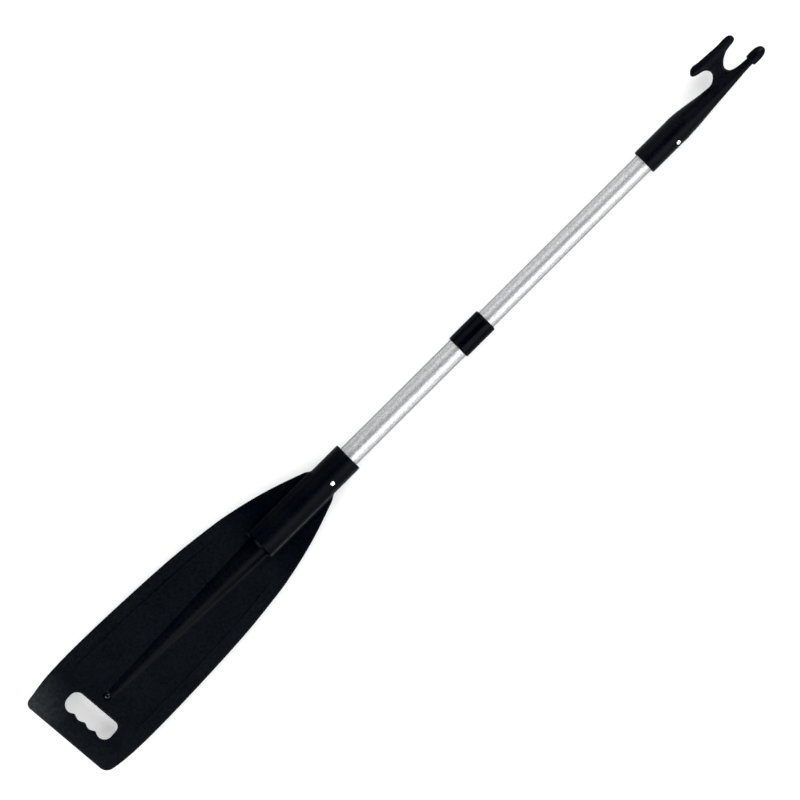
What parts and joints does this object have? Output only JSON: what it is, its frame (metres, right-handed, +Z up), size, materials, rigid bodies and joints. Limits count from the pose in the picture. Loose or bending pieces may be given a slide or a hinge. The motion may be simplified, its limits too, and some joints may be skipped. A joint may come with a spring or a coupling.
{
  "type": "telescopic paddle with boat hook",
  "caption": "Telescopic paddle: a plastic blade with a finger grip and a boat hook on a twist-locked two-part aluminium shaft.",
  "frame": {"origin": "centre of the paddle's length and width, on the surface that it lies on", "axes": "+X along the shaft from the blade to the boat hook, +Y across the blade on the side of the hook's cross bar, +Z up, square to the blade"},
  "size_m": [1.3249, 0.1566, 0.0433],
  "materials": {
    "blade_plastic": "black polypropylene with a fine moulded texture",
    "hook_plastic": "black nylon, satin",
    "collar_plastic": "black plastic, satin",
    "tube_aluminium": "etched and clear anodised, matt",
    "rivet_aluminium": "bright",
    "steel": "zinc plated",
    "lock_plastic": "natural nylon",
    "plug_plastic": "dark grey polyethylene",
    "ring_rubber": "black nitrile"
  },
  "bodies": {
    "blade_side": {"blade": "blade_plastic", "outer_tube": "tube_aluminium", "outer_tube_plug": "plug_plastic", "lock_collar": "collar_plastic", "blade_rivet_front": "rivet_aluminium", "blade_rivet_front_mandrel": "steel", "blade_rivet_back": "rivet_aluminium", "blade_rivet_back_mandrel": "steel"},
    "lock_expander": {"expander_sleeve": "lock_plastic", "expander_o_ring": "ring_rubber"},
    "hook_side": {"inner_tube": "tube_aluminium", "inner_tube_plug": "plug_plastic", "boat_hook": "hook_plastic", "hook_rivet_front": "rivet_aluminium", "hook_rivet_front_mandrel": "steel", "hook_rivet_back": "rivet_aluminium", "hook_rivet_back_mandrel": "steel", "lock_plug": "lock_plastic", "lock_plug_pin": "steel", "lock_stud": "steel", "thrust_washer": "steel", "stop_nut": "steel"},
    "lock_cone": {"cone_nut": "plug_plastic"}
  },
  "joints": [
    {"name": "telescope", "type": "slide", "parent": "blade_side", "child": "lock_expander", "axis": [1, 0, 0], "range_m": [-0.19, 0]},
    {"name": "twist_lock", "type": "hinge", "parent": "lock_expander", "child": "hook_side", "pos_m": [0.0614, 0, 0.02165], "axis": [1, 0, 0], "range_deg": [0, 270]},
    {"name": "cone_travel", "type": "slide", "parent": "lock_expander", "child": "lock_cone", "axis": [-1, 0, 0], "range_m": [0, 0.001]}
  ],
  "couplings": [
    {"joint": "cone_travel", "follows": "twist_lock", "m_per_rad": 0.00019894}
  ]
}
